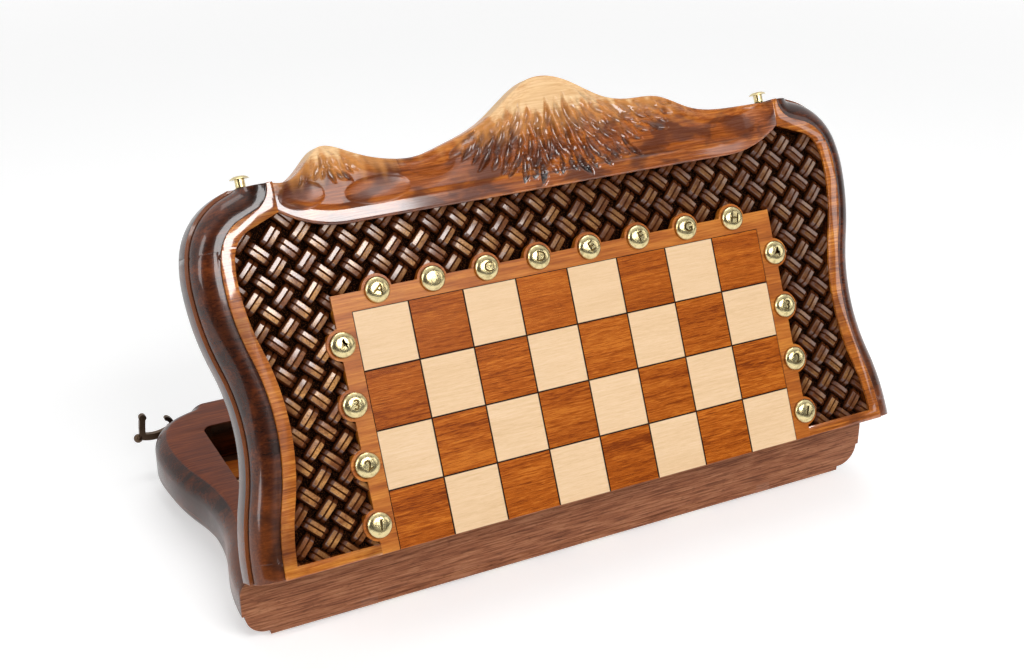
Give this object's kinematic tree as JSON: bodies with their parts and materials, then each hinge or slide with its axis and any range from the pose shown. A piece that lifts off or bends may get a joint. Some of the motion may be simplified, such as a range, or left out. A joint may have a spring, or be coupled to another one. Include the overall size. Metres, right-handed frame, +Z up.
{
  "type": "folding chess box",
  "caption": "Folding chess and backgammon box in carved wood: two hinged tray halves with moulded curved sides, a mountain crest, brass studs and hook latches.",
  "frame": {"origin": "centre of the footprint on the table, under the stud crowns that the base rests on, with the lid open as shown", "axes": "+X along the fold, to the right of someone facing the leaning chess face; +Y from the fold into the base; +Z up"},
  "size_m": [0.4984, 0.2899, 0.3214],
  "materials": {
    "moulding_wood": "gloss",
    "walnut": "satin",
    "carved_wood": "gloss",
    "honey_wood": "gloss",
    "amber_wood": "satin",
    "pale_beech": "satin",
    "crest_wood": "gloss",
    "tray_wood": "satin",
    "brass": "polished",
    "bronze": "darkened"
  },
  "bodies": {
    "base": {"base_left_side": "moulding_wood", "base_right_side": "moulding_wood", "base_spine_rail": "walnut", "base_latch_rail": "moulding_wood", "base_carved_panel": "carved_wood", "base_chess_frame": "honey_wood", "base_light_squares": "pale_beech", "base_dark_squares": "amber_wood", "base_studs": "brass", "base_tray_lining": "tray_wood", "base_light_points": "pale_beech", "base_dark_points": "amber_wood", "base_hinge_leaves": "brass", "base_hinge_screws": "brass", "hinge_pins": "brass", "hook_screws": "brass", "hook_plates": "brass"},
    "lid": {"lid_left_side": "moulding_wood", "lid_right_side": "moulding_wood", "lid_spine_rail": "walnut", "lid_latch_rail": "moulding_wood", "lid_carved_panel": "carved_wood", "lid_chess_frame": "honey_wood", "lid_light_squares": "pale_beech", "lid_dark_squares": "amber_wood", "lid_studs": "brass", "lid_tray_lining": "tray_wood", "lid_light_points": "pale_beech", "lid_dark_points": "amber_wood", "lid_hinge_leaves": "brass", "lid_hinge_screws": "brass", "lid_crest": "crest_wood", "latch_studs": "brass"},
    "hook_left": {"hook_left": "bronze"},
    "hook_right": {"hook_right": "bronze"}
  },
  "joints": [
    {"name": "lid_hinge", "type": "hinge", "parent": "base", "child": "lid", "pos_m": [0, -0.10311, 0.051], "axis": [1, 0, 0], "range_deg": [-64.5, 115.5]},
    {"name": "hook_left_pivot", "type": "hinge", "parent": "base", "child": "hook_left", "pos_m": [-0.1995, 0.13949, 0.033], "axis": [0, 1, 0], "range_deg": [-30, 90]},
    {"name": "hook_right_pivot", "type": "hinge", "parent": "base", "child": "hook_right", "pos_m": [0.1995, 0.13949, 0.033], "axis": [0, -1, 0], "range_deg": [-30, 90]}
  ]
}
